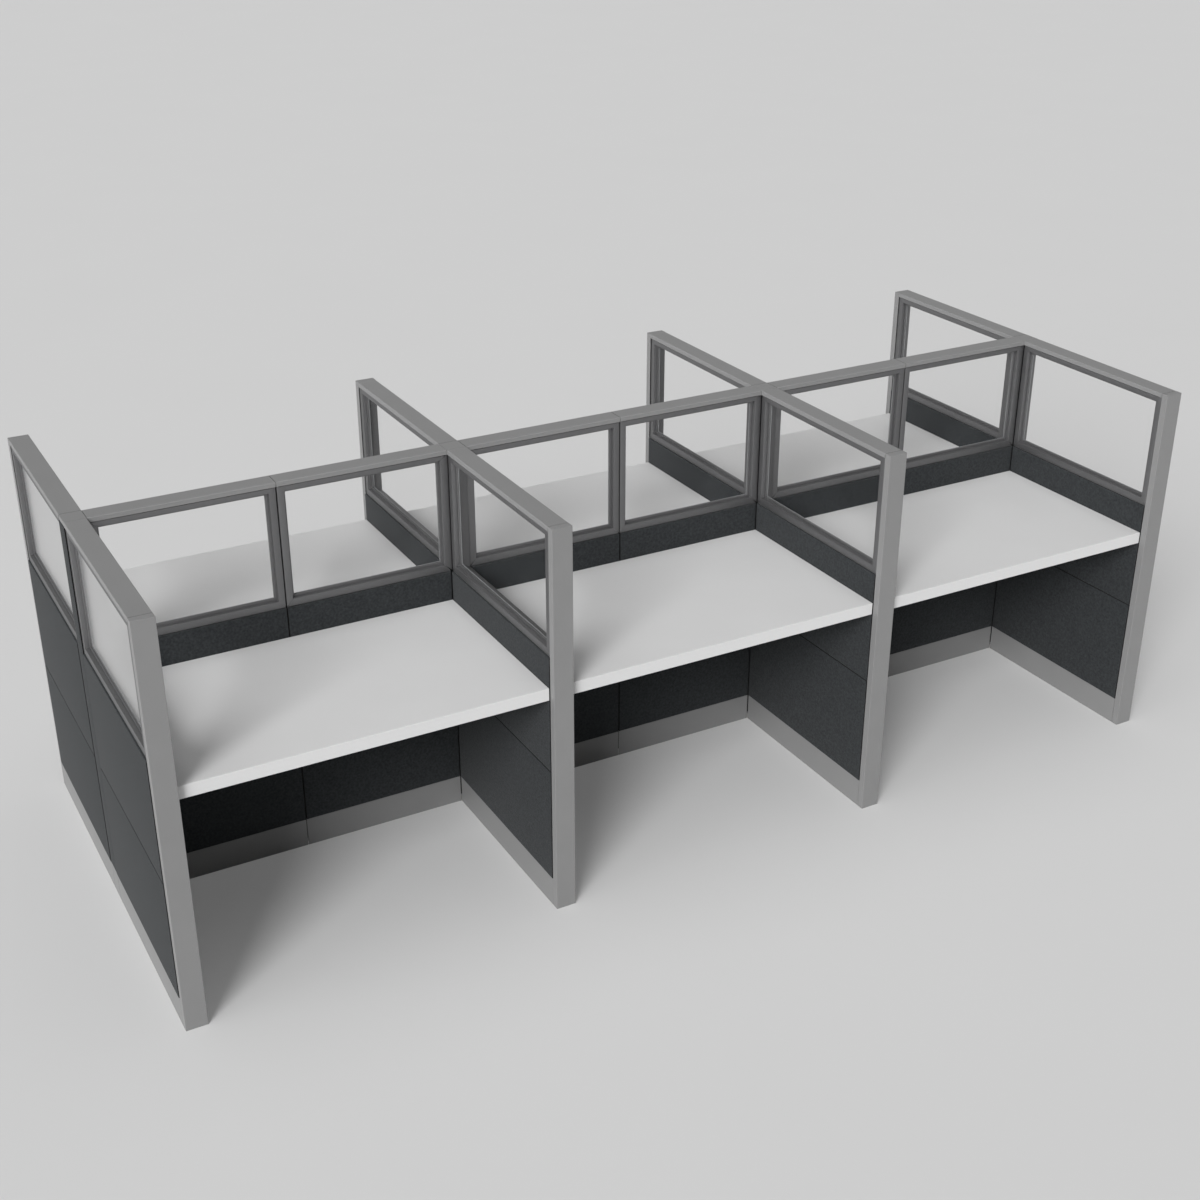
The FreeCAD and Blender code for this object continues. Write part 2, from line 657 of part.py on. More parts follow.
os.makedirs("parts", exist_ok=True)
for name, thing in nodes.items():
    thing.Shape.exportStep(f"parts/{name}.step")
    print(name, len(thing.Shape.Solids), round(thing.Shape.Volume / 1000, 1))
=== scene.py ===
import math

import bmesh
import bpy
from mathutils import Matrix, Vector


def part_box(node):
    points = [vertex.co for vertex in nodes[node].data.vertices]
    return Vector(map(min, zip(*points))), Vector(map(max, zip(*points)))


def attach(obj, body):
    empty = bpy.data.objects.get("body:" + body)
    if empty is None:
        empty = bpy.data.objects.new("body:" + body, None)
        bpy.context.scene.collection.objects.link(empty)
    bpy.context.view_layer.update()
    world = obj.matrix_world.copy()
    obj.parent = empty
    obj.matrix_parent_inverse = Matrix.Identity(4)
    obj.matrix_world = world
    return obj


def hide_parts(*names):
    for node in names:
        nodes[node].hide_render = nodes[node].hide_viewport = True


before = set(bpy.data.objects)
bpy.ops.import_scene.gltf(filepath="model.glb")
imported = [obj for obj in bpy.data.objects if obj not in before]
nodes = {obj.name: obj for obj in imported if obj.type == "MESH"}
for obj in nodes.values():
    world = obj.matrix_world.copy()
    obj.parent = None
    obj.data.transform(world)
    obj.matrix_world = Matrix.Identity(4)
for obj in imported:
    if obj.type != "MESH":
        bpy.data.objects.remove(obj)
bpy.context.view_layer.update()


# Steel frames
# Posts, panel frames, connectors and the sockets in their feet are welded steel tube. The posts, frames
# and connectors are powder coated black, and only a seam or the underside shows them.
MM = 0.001
WINGS = 4
LINES = ["spine"] + [f"wing_{number}" for number in range(1, WINGS + 1)]
PEEL_SIZE = 1.6 * MM
PEEL_DEPTH = 0.05 * MM
DRIFT_SIZE = 90.0 * MM
SPECK_SIZE = 0.7 * MM
SPECK_SHARE = 0.3
COAT_VARIES = 0.07
GLOSS_VARIES = 0.06
# How dark the painted shade on the cut end faces is, as a share of the coat's colour.
CUT_END_SHADE = 0.08
SATIN = 0.5


class Wire:
    """An output socket in a node tree. Arithmetic on it adds Math nodes to that tree."""

    def __init__(self, tree, socket):
        self.tree = tree
        self.socket = socket

    def node(self, kind, settings, sockets, out=0):
        """Add a node, set it up, then give its sockets their values or links."""
        made = self.tree.nodes.new(kind)
        for name, setting in settings.items():
            setattr(made, name, setting)
        for name, given in sockets.items():
            if isinstance(given, Wire):
                self.tree.links.new(given.socket, made.inputs[name])
            else:
                made.inputs[name].default_value = given
        return Wire(self.tree, made.outputs[out]) if made.outputs else None

    def twin(self, out):
        """Another output of the same node."""
        return Wire(self.tree, self.socket.node.outputs[out])

    def maths(self, operation, *values):
        return self.node("ShaderNodeMath", {"operation": operation}, dict(enumerate(values)))

    def __add__(self, other):
        return self.maths("ADD", self, other)

    def __sub__(self, other):
        return self.maths("SUBTRACT", self, other)

    def __rsub__(self, other):
        return self.maths("SUBTRACT", other, self)

    def __mul__(self, other):
        return self.maths("MULTIPLY", self, other)

    def __pow__(self, other):
        return self.maths("POWER", self, other)

    __radd__ = __add__


def new_material(name):
    """An empty material, and the wire of its Object coordinates in metres."""
    material = bpy.data.materials.new(name)
    material.use_nodes = True
    material.node_tree.nodes.clear()
    seat = Wire(material.node_tree, None)
    return material, seat.node("ShaderNodeTexCoord", {}, {}, "Object")


def grain(place, size, detail=2.0):
    """Noise with lumps of a given size, between 0 and 1."""
    return place.node("ShaderNodeTexNoise", {}, {"Vector": place, "Scale": 1 / size, "Detail": detail})


def between(share, low, high):
    """A colour that goes from low to high as the share goes from 0 to 1."""
    # A Mix node's colour sockets come after those for numbers and vectors, which share their names.
    return share.node("ShaderNodeMix", {"data_type": "RGBA"}, {0: share, 6: low, 7: high}, 2)


def bump(height, depth):
    """A normal that follows a height, of which a step of 1 is a depth in metres."""
    return height.node("ShaderNodeBump", {}, {"Height": height, "Distance": depth})


def surface(place, **sockets):
    """End a material in a Principled surface; an underscore in a socket's name stands for a space."""
    named = {name.replace("_", " "): given for name, given in sockets.items()}
    shader = place.node("ShaderNodeBsdfPrincipled", {}, named)
    place.node("ShaderNodeOutputMaterial", {}, {"Surface": shader})


def shade(red, green, blue):
    """The linear colour of an 8-bit screen colour."""
    parts = [level / 255 for level in (red, green, blue)]
    return [(part / 12.92 if part < 0.04045 else ((part + 0.055) / 1.055) ** 2.4) for part in parts] + [1]


def lightened(colour, factor):
    return [part * factor for part in colour[:3]] + [1]


def marked(place, mark):
    """The share from 0 to 1 that a mesh carries under a name on its faces, and 0 where it has none."""
    return place.node("ShaderNodeAttribute", {"attribute_name": mark}, {}, "Fac")


def varied(share, colour, amount):
    """A colour that goes from darker to lighter by an amount as the share goes from 0 to 1."""
    return between(share, lightened(colour, 1 - amount), lightened(colour, 1 + amount))


def powder_coat(name, colour, roughness):
    """Baked powder coat: a fine orange peel, a drift in colour and gloss, and painted shade on faces marked
    as cut ends.
    """
    material, place = new_material(name)
    peel = grain(place, PEEL_SIZE, detail=1.0)
    drift = grain(place, DRIFT_SIZE, detail=3.0)
    speck = grain(place, SPECK_SIZE, detail=1.0)
    mottle = drift * (1 - SPECK_SHARE) + speck * SPECK_SHARE
    coat = varied(mottle, colour, COAT_VARIES)
    # Faces marked as cut ends are painted near black as the shade in the joint.
    surface(
        place,
        Base_Color=between(marked(place, "cut"), coat, lightened(colour, CUT_END_SHADE)),
        Roughness=roughness - GLOSS_VARIES + drift * (2 * GLOSS_VARIES),
        Normal=bump(peel, PEEL_DEPTH),
    )
    return material


def paint_node(node, material):
    """Give a CAD node that stays in view its finish."""
    nodes[node].data.materials.clear()
    nodes[node].data.materials.append(material)


frame_coat = powder_coat("frame_coat", shade(30, 31, 32), SATIN)
for node in ("spine_panel_frames", "wing_panel_frames", "inline_connectors", "crossing_posts"):
    paint_node(node, frame_coat)


# Levelling glides
# Zinc plated feet with a rolled thread, which turn in threaded sockets in the feet of the frame. The foot
# is a hexagon for the spanner, rounded where it stands on the floor and turned to a bevel on top.
GLIDE_SIDES = 24
GLIDE_PITCH = 2.0 * MM
THREAD_DEPTH = 0.6 * MM
ROWS_PER_TURN = 4
FOOT_ROUND = 1.5 * MM
FOOT_ROUND_STEPS = 4
FOOT_BEVEL = 1.2 * MM
FOOT_HEIGHT = 6.0 * MM
STEM_RADIUS = 5.0 * MM
SHARP_ANGLE = math.radians(35)
BRUSH_SCALE = (400, 400, 4000)
SCRATCH_DEPTH = 0.02 * MM
SCRATCH_ROUGHNESS = 0.2
ZINC_ROUGHNESS = 0.32
ZINC_CLOUD = 6.0 * MM
ZINC_DARK = shade(150, 152, 156)
ZINC_LIGHT = shade(186, 187, 188)

zinc, place = new_material("zinc_plate")
brushed = place.node("ShaderNodeMapping", {}, {"Vector": place, "Scale": BRUSH_SCALE})
scratch = grain(brushed, 1.0)
surface(
    place,
    Base_Color=between(grain(place, ZINC_CLOUD), ZINC_DARK, ZINC_LIGHT),
    Metallic=1.0,
    Roughness=ZINC_ROUGHNESS + scratch * SCRATCH_ROUGHNESS,
    Normal=bump(scratch, SCRATCH_DEPTH),
)


def lathe(shape, centre, rings, sides):
    """Skin a stack of rings, each a height and a radius for every side, about an upright axis."""
    loops = []
    turns = [math.tau * side / sides for side in range(sides)]
    for height, radii in rings:
        loops.append([
            shape.verts.new(centre + Vector((math.cos(turn) * radius, math.sin(turn) * radius, height)))
            for turn, radius in zip(turns, radii)
        ])
    for low, high in zip(loops, loops[1:]):
        for side in range(sides):
            other = (side + 1) % sides
            shape.faces.new((low[side], low[other], high[other], high[side]))
    shape.faces.new(reversed(loops[0]))
    shape.faces.new(loops[-1])


def smooth_mesh(shape, name):
    """Turn a bmesh into a mesh that is smooth except at its sharp edges."""
    mesh = bpy.data.meshes.new(name)
    bmesh.ops.recalc_face_normals(shape, faces=shape.faces)
    shape.to_mesh(mesh)
    shape.free()
    mesh.shade_smooth()
    mesh.set_sharp_from_angle(angle=SHARP_ANGLE)
    return mesh


def seat_piece(name, mesh, material, slot, *replaced, body="cluster"):
    """Put a finished mesh in the scene in place of CAD nodes, on the body that carries it."""
    piece = bpy.data.objects.new(name, mesh)
    bpy.context.scene.collection.objects.link(piece)
    mesh.materials.clear()
    mesh.materials.append(material)
    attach(piece, body)
    if replaced:
        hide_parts(*replaced)
    return piece


def hexagon(reach):
    """Radius on each side of a turned ring whose outline is a hexagon of a given reach over its corners."""
    flat = reach * math.cos(math.pi / 6)
    turns = [math.tau * side / GLIDE_SIDES for side in range(GLIDE_SIDES)]
    return [flat / math.cos(turn % (math.pi / 3) - math.pi / 6) for turn in turns]


def glide_rings(height, foot_reach, foot_height, stem_radius):
    """Rings of a glide from the floor up: hexagon foot, then the thread."""
    rings = []
    for step in range(FOOT_ROUND_STEPS + 1):
        turn = math.pi / 2 * step / FOOT_ROUND_STEPS
        drawn_in = FOOT_ROUND * (1 - math.sin(turn))
        rings.append((FOOT_ROUND * (1 - math.cos(turn)), hexagon(foot_reach - drawn_in)))
    bevelled = foot_reach * math.cos(math.pi / 6) - FOOT_BEVEL / 2
    rings.append((foot_height - FOOT_BEVEL, hexagon(foot_reach)))
    rings.append((foot_height, [min(corner, bevelled) for corner in hexagon(foot_reach)]))
    rows = round((height - foot_height) / GLIDE_PITCH * ROWS_PER_TURN)
    for row in range(rows + 1):
        turns = row / ROWS_PER_TURN
        radii = []
        for side in range(GLIDE_SIDES):
            phase = (turns - side / GLIDE_SIDES) % 1
            radii.append(stem_radius - THREAD_DEPTH * abs(2 * phase - 1))
        rings.append((foot_height + row * (height - foot_height) / rows, radii))
    return rings


glides = [name for name in sorted(nodes) if "_glide" in name and name != "glide_sockets"]
for glide in glides:
    low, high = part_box(glide)
    centre = Vector(((low.x + high.x) / 2, (low.y + high.y) / 2, low.z))
    shape = bmesh.new()
    rings = glide_rings(high.z - low.z, (high.x - low.x) / 2, FOOT_HEIGHT, STEM_RADIUS)
    lathe(shape, centre, rings, GLIDE_SIDES)
    seat_piece(f"{glide}_turned", smooth_mesh(shape, glide), zinc, "zinc_steel", glide, body=glide)
paint_node("glide_sockets", zinc)


# Base covers
# Folded steel plates clipped to the foot of the frame, one on each side of each panel, and short ones
# over the outer side of the end posts. They are powder coated the grey of the trims.
GREY = shade(131, 131, 131)
WELD = 0.01 * MM
FLAT_ANGLE = math.radians(1)
FOLD_ROUND = 0.7 * MM

grey_coat = powder_coat("grey_coat", GREY, SATIN)


def mark_faces(shape, mark, share):
    """Keep a share worked out from each face on the face, under a name for a material to read."""
    shape.normal_update()
    layer = shape.faces.layers.float.new(mark)
    for face in shape.faces:
        face[layer] = share(face)


def welded(node):
    """A copy of a CAD node's mesh with its triangles joined and its flat faces made whole."""
    shape = bmesh.new()
    shape.from_mesh(nodes[node].data)
    bmesh.ops.remove_doubles(shape, verts=shape.verts, dist=WELD)
    bmesh.ops.dissolve_limit(shape, angle_limit=FLAT_ANGLE, verts=shape.verts, edges=shape.edges)
    return shape


def eased_copy(node, ending, material, slot, radius, segments=2, shade_ends_across=None):
    """A CAD node's own shape with its edges rounded, and the faces across one axis marked as cut ends,
    which the coat paints near black as shade.
    """
    shape = welded(node)
    if shade_ends_across is not None:
        # Mark the end faces across the run, which the coat paints near black as shade.
        mark_faces(shape, "cut", lambda face: round(abs(face.normal[shade_ends_across])))
    piece = seat_piece(f"{node}_{ending}", smooth_mesh(shape, node), material, slot, node)
    rounding = piece.modifiers.new("rounding", "BEVEL")
    rounding.width = radius
    rounding.segments = segments
    rounding.limit_method = "ANGLE"
    rounding.harden_normals = True


for line in LINES + ["post"]:
    eased_copy(f"{line}_base_covers", "folded", grey_coat, "grey_paint", FOLD_ROUND)


# Fabric tiles
# Boards wrapped in charcoal panel cloth, two high on each side of each panel, and a strip of the same
# cloth over the outer side of each end post. The cloth is a plain weave of mixed yarns, and the faces that
# turn into the seams are painted near black as shade.
WRAP_ROUND = 1.0 * MM
WRAP_STEPS = 4
SEAM_SHADE_RISE = 2.0
THREAD = 1.5 * MM
WANDER_SIZE = 25.0 * MM
FLECK_SIZE = 7.0 * MM
FLECK_CONTRAST = 1.2
FIBRE_SIZE = 0.9 * MM
FIBRE_CONTRAST = 0.2
WEAVE_CONTRAST = 0.06
YARN_LEVEL = 0.4
CLOTH_DARK = shade(22, 24, 26)
CLOTH_LIGHT = shade(59, 62, 64)
# Near black, painted as shade on the cloth's faces that turn into the seams between tiles.
CLOTH_SEAM_SHADE = shade(6, 6, 7)
CLOTH_ROUGHNESS = 0.95
FIBRE_GLOSS = 0.1
WEAVE_RELIEF = 0.35
FIBRE_RELIEF = 0.5
NAP = 0.35 * MM

cloth, place = new_material("charcoal_cloth")
x = place.node("ShaderNodeSeparateXYZ", {}, {"Vector": place}, "X")
wander = grain(place, WANDER_SIZE) * THREAD
along = (x + x.twin("Y") + wander) * (math.pi / THREAD)
up = (x.twin("Z") + wander) * (math.pi / THREAD)
weave = along.maths("SINE", along) * up.maths("SINE", up)
fleck = grain(place, FLECK_SIZE, detail=4.0) - 0.5
fibre = grain(place, FIBRE_SIZE, detail=1.0)
yarn = fleck * FLECK_CONTRAST + YARN_LEVEL + fibre * FIBRE_CONTRAST + weave * WEAVE_CONTRAST
# The faces that turn into the seams are painted near black as shade, by their marked share.
surface(
    place,
    Base_Color=between(marked(place, "seam_shade"), between(yarn, CLOTH_DARK, CLOTH_LIGHT), CLOTH_SEAM_SHADE),
    Roughness=CLOTH_ROUGHNESS - fibre * FIBRE_GLOSS,
    Sheen_Weight=0.08,
    Sheen_Roughness=0.5,
    Specular_IOR_Level=0.2,
    Normal=bump(weave * WEAVE_RELIEF + fibre * FIBRE_RELIEF, NAP),
)


def solid_boxes(node):
    """Lowest and highest corners of each separate solid in a CAD node, in the order of its mesh."""
    shape = welded(node)
    seen = set()
    boxes = []
    for start in shape.verts:
        if start in seen:
            continue
        seen.add(start)
        front = [start]
        corners = []
        while front:
            corner = front.pop()
            corners.append(corner.co.copy())
            for edge in corner.link_edges:
                other = edge.other_vert(corner)
                if other not in seen:
                    seen.add(other)
                    front.append(other)
        boxes.append((Vector(map(min, zip(*corners))), Vector(map(max, zip(*corners)))))
    shape.free()
    return boxes


def board_rim(shape, low, high, axis, side):
    """Add a square board, and give the edges round its face on one side of an axis."""
    made = bmesh.ops.create_cube(shape, size=1)["verts"]
    for vert in made:
        vert.co = Vector(low[i] if vert.co[i] < 0 else high[i] for i in range(3))
    face_at = high[axis] if side > 0 else low[axis]
    edges = dict.fromkeys(edge for vert in made for edge in vert.link_edges)
    return [edge for edge in edges
            if all(abs(vert.co[axis] - face_at) < WELD for vert in edge.verts)]


def seam_shade_share(face, axis, belt):
    """How much painted seam shade a face gets, by how far it turns in behind the front of its tile, leaving
    out the open edge under a window.
    """
    if face.calc_center_median().z > belt:
        return 0
    return min(SEAM_SHADE_RISE * (1 - abs(face.normal[axis])), 1)


for node in [f"{line}_tiles" for line in LINES] + ["post_covers"]:
    node_low, node_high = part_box(node)
    middle = (node_low + node_high) / 2
    shape = bmesh.new()
    rims = []
    for low, high in solid_boxes(node):
        size = high - low
        axis = min((0, 1), key=lambda i: size[i])
        side = (low[axis] + high[axis]) / 2 - middle[axis]
        rims += board_rim(shape, low, high, axis, side)
    bmesh.ops.bevel(shape, geom=rims, offset=WRAP_ROUND, segments=WRAP_STEPS, profile=0.5,
                    affect="EDGES", clamp_overlap=True)
    belt = node_high.z - 2 * WRAP_ROUND
    # Mark each face with its share of painted seam shade.
    mark_faces(shape, "seam_shade", lambda face: seam_shade_share(face, axis, belt))
    seat_piece(f"{node}_wrapped", smooth_mesh(shape, node), cloth, "charcoal_fabric", node)


# Window frames
# Extruded aluminium lengths, mitred at the corners of each window and anodised grey. Each has a stepped
# face on the left or the front of its wall, a groove for the glass and a low sloped bead behind it. A
# hairline stays open at the mitres and where the frames come up to a crossing.
PANE_SEAT = 11.0 * MM
FACE_DEPTH = 20.0 * MM
RIB_HEIGHT = 7.5 * MM
STEP_DEPTH = 13.0 * MM
GROOVE_HALF = 5.0 * MM
GROOVE_DEPTH = 18.5 * MM
BEAD_HEIGHT = 4.0 * MM
BEAD_LAND = 2.0 * MM
BEAD_EDGE = 1.0 * MM
SECTION_ROUND = 0.6 * MM
ROUND_STEPS = 3
SHORT_EDGE = 0.4
MITRE_LINE = 0.12 * MM
REBATE_HEIGHT = 4.5 * MM
REBATE_DEPTH = 9.0 * MM
SPINE_FILL = 3.8 * MM
WING_FILL = 1.5 * MM
POST_REACH = 50.0 * MM
ANODISED = shade(124, 124, 125)
ANODISED_VARIES = 0.03
ANODISED_ROUGHNESS = 0.52
ANODISED_DRIFT = 70.0 * MM
DRAWN_SCALE = (3, 900, 1)
DRAWN_SHARE = 0.2
DRAWN_ROUGHNESS = 0.03

anodised, place = new_material("anodised_extrusion")
lie = place.node("ShaderNodeUVMap", {"uv_map": "lie"}, {})
drawn = grain(lie.node("ShaderNodeMapping", {}, {"Vector": lie, "Scale": DRAWN_SCALE}), 1.0)
drift = grain(place, ANODISED_DRIFT, detail=3.0)
surface(
    place,
    Base_Color=varied(drift * (1 - DRAWN_SHARE) + drawn * DRAWN_SHARE, ANODISED, ANODISED_VARIES),
    Metallic=0.9,
    Roughness=ANODISED_ROUGHNESS + drawn * DRAWN_ROUGHNESS,
)


def rounded(points, radius, steps):
    """A closed outline with an arc in place of each corner that sticks out."""
    outline = []
    count = len(points)
    area = sum(a.cross(b) for a, b in zip(points, points[1:] + points[:1]))
    for index, corner in enumerate(points):
        before = points[index - 1] - corner
        after = points[(index + 1) % count] - corner
        if after.cross(before) * area < 0:
            outline.append(corner)
            continue
        reach = min(radius, before.length * SHORT_EDGE, after.length * SHORT_EDGE)
        before = before.normalized() * reach
        after = after.normalized() * reach
        for step in range(steps + 1):
            turn = math.pi / 2 * step / steps
            outline.append(corner + before * (1 - math.sin(turn)) + after * (1 - math.cos(turn)))
    return outline


def mitred_length(shape, lie, corner, along, inward, across, length, outline):
    """One straight length of a section whose ends are cut back by its depth into the window."""
    rows = []
    for spot in outline:
        cut_back = max(spot.y, 0) + MITRE_LINE
        near = corner + across * spot.x + inward * spot.y + along * cut_back
        rows.append((shape.verts.new(near), shape.verts.new(near + along * (length - 2 * cut_back))))
    girth = 0.0
    for index, (spot, row) in enumerate(zip(outline, rows)):
        following = (index + 1) % len(rows)
        width = (outline[following] - spot).length
        face = shape.faces.new((row[0], row[1], rows[following][1], rows[following][0]))
        marks = ((0, girth), (length, girth), (length, girth + width), (0, girth + width))
        for loop, mark in zip(face.loops, marks):
            loop[lie].uv = mark
        girth += width
    shape.faces.new([row[0] for row in rows])
    shape.faces.new([row[1] for row in reversed(rows)])


def section(half_width, glass_at, skirt, rebated=False):
    """Outline of a length across the wall, from the skirt over the face, rib and groove to the bead."""
    rib_at = STEP_DEPTH - half_width
    groove_near = glass_at - GROOVE_HALF
    groove_far = glass_at + GROOVE_HALF
    rib_top = FACE_DEPTH + RIB_HEIGHT
    groove_floor = rib_top - GROOVE_DEPTH
    bead_top = groove_floor + BEAD_HEIGHT
    points = [(-half_width, -skirt)]
    if rebated:
        neck = REBATE_DEPTH - half_width
        points = [(neck, -skirt), (neck, REBATE_HEIGHT), (-half_width, REBATE_HEIGHT)]
    points += [(-half_width, FACE_DEPTH), (rib_at, FACE_DEPTH), (rib_at, rib_top), (groove_near, rib_top)]
    points += [(groove_near, groove_floor), (groove_far, groove_floor), (groove_far, bead_top)]
    points += [(groove_far + BEAD_LAND, bead_top), (half_width, BEAD_EDGE), (half_width, -skirt)]
    return rounded([Vector(point) for point in points], SECTION_ROUND, ROUND_STEPS)


posts = [(low + high) / 2 for low, high in solid_boxes("crossing_posts")]


def framed_window(shape, lie, pane_low, pane_high, window_low, window_high):
    """Sill, head and two stiles round one pane."""
    wide = max((0, 1), key=lambda i: pane_high[i] - pane_low[i])
    half_width = (window_high[1 - wide] - window_low[1 - wide]) / 2
    along = Vector((wide == 0, wide == 1, 0))
    across = Vector((wide == 1, wide == 0, 0))
    up = Vector((0, 0, 1))
    low = pane_low - (along + up) * PANE_SEAT
    high = pane_high + (along + up) * PANE_SEAT
    wall = (window_low + window_high) / 2
    glass_at = ((pane_low + pane_high) / 2 - wall).dot(across)
    low += across * (wall - low).dot(across)
    width = (high - low).dot(along)
    height = high.z - low.z
    far = low + along * width
    top = low + up * height
    sill = section(half_width, glass_at, low.z - window_low.z)
    head = section(half_width, glass_at, window_high.z - high.z, rebated=True)
    mitred_length(shape, lie, low, along, up, across, width, sill)
    mitred_length(shape, lie, top, along, -up, across, width, head)
    for foot, inward in ((low, along), (far, -along)):
        at_post = any((foot - post).xy.length < POST_REACH for post in posts)
        fill = WING_FILL if wide else SPINE_FILL
        stile = section(half_width, glass_at, fill if at_post else 0)
        mitred_length(shape, lie, foot, up, inward, across, height, stile)


panes = solid_boxes("spine_glass") + solid_boxes("wing_glass")
for line in LINES:
    shape = bmesh.new()
    lie = shape.loops.layers.uv.new("lie")
    for window_low, window_high in solid_boxes(f"{line}_window_frames"):
        inside = [(low, high) for low, high in panes
                  if all(window_low[i] < (low[i] + high[i]) / 2 < window_high[i] for i in range(3))]
        framed_window(shape, lie, *inside[0], window_low, window_high)
    seat_piece(f"{line}_window_lengths", smooth_mesh(shape, line), anodised, "grey_aluminium",
               f"{line}_window_frames")


# Glazing
# Clear float glass 6 mm thick in every window, seated in a grey vinyl channel that shows as a thin line
# above the rib. Light and shadow pass through the pane, and it turns pale where it is seen nearly edge on.
VINYL_DARK = shade(112, 113, 114)
VINYL_LIGHT = shade(136, 137, 138)
VINYL_ROUGHNESS = 0.6
BLOOM_SIZE = 12.0 * MM
BLOOM_ROUGHNESS = 0.15
PORE_SIZE = 0.6 * MM
PORE_DEPTH = 0.05 * MM
HEAD_ON_SHINE = 0.006
EDGE_ON_SHINE = 9.6
EDGE_FALL = 14
SHINE_BLUR = 0.4
SMEAR_SIZE = 80.0 * MM
SMEAR_VARIES = 0.2
GLASS_TINT = shade(254, 254, 254)

vinyl, place = new_material("gasket_vinyl")
bloom = grain(place, BLOOM_SIZE, detail=3.0)
surface(
    place,
    Base_Color=between(bloom, VINYL_DARK, VINYL_LIGHT),
    Roughness=VINYL_ROUGHNESS + bloom * BLOOM_ROUGHNESS,
    Normal=bump(grain(place, PORE_SIZE, detail=1.0), PORE_DEPTH),
)
paint_node("glazing_gaskets", vinyl)

glass, place = new_material("float_glass")
facing = place.node("ShaderNodeLayerWeight", {}, {}, "Facing")
smear = grain(place, SMEAR_SIZE, detail=4.0) * (2 * SMEAR_VARIES) + (1 - SMEAR_VARIES)
clear = place.node("ShaderNodeBsdfTransparent", {}, {"Color": GLASS_TINT})
shine = place.node("ShaderNodeBsdfGlossy", {}, {"Roughness": SHINE_BLUR})
pane = place.node("ShaderNodeMixShader", {}, {
    0: smear * HEAD_ON_SHINE + facing ** EDGE_FALL * EDGE_ON_SHINE,
    1: clear,
    2: shine,
})
place.node("ShaderNodeOutputMaterial", {}, {"Surface": pane})
for node in ("spine_glass", "wing_glass"):
    paint_node(node, glass)


# Top caps
# Lipped channels pushed over the heads of the windows, with a square cap over each crossing. Their edges
# are eased and their cut ends painted near black as shade, so a fine joint shows where one ends and the
# next begins.
CAP_ROUND = 0.3 * MM

for line in LINES:
    run = 0 if line == "spine" else 1
    eased_copy(f"{line}_top_caps", "eased", grey_coat, "grey_paint", CAP_ROUND, shade_ends_across=run)
eased_copy("post_caps", "eased", grey_coat, "grey_paint", CAP_ROUND)


# End trims
# Full-height channels over the free ends of the wings, closed at the top, in the same coat as the caps.
TRIM_ROUND = 1.0 * MM

for line in LINES[1:]:
    eased_copy(f"{line}_end_trims", "eased", grey_coat, "grey_paint", TRIM_ROUND, segments=3)


# Worksurface supports
# A hooked cantilever blade under the middle of each worksurface and an angle at each side, pressed from
# steel plate. Cross-head screws hold their flanges to the board, and more hold the angles to the wings.
SUPPORT_ROUND = 0.5 * MM
PLATE = 3.0 * MM
SCREW_RADIUS = 4.5 * MM
SCREW_HEIGHT = 2.6 * MM
SCREW_SIDES = 16
SCREW_NECK_SHARE = 0.92
SCREW_CROWN_SHARE = 0.55
SCREW_SLOT_SHARE = 0.22
SCREW_INSET_SHARE = 0.1
SCREWS_PER_ANGLE = 3
SCREWS_PER_ARM = 4
SUPPORT_ROUGHNESS = 0.45
DOWN = Vector((0, 0, -1))

support_coat = powder_coat("support_coat", shade(58, 59, 61), SUPPORT_ROUGHNESS)
eased_copy("cantilever_brackets", "pressed", support_coat, "bracket_steel", SUPPORT_ROUND)
eased_copy("side_support_angles", "pressed", support_coat, "bracket_steel", SUPPORT_ROUND)


def spaced(count):
    """Even shares of a length for a number of screws, kept in from both ends."""
    spread = 1 - 2 * SCREW_INSET_SHARE
    return [SCREW_INSET_SHARE + spread * number / (count - 1) for number in range(count)]


screw_spots = []
for low, high in solid_boxes("cantilever_brackets"):
    middle = (low + high) / 2
    for number, share in enumerate(spaced(SCREWS_PER_ARM)):
        outward = share if low.y > 0 else 1 - share
        side = 1 if number % 2 else -1
        x = middle.x + side * (high.x - low.x) / 4
        y = low.y + (high.y - low.y) * outward
        screw_spots.append((Vector((x, y, high.z - PLATE)), DOWN))
for low, high in solid_boxes("side_support_angles"):
    middle = (low + high) / 2
    wall_left = min(abs(low.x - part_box(f"{wing}_tiles")[1].x) for wing in LINES[1:]) < PLATE
    leg = 1 if wall_left else -1
    wall = low.x if wall_left else high.x
    for share in spaced(SCREWS_PER_ANGLE):
        y = low.y + (high.y - low.y) * share
        screw_spots.append((Vector((middle.x, y, high.z - PLATE)), DOWN))
        screw_spots.append((Vector((wall + leg * PLATE, y, middle.z)), Vector((leg, 0, 0))))


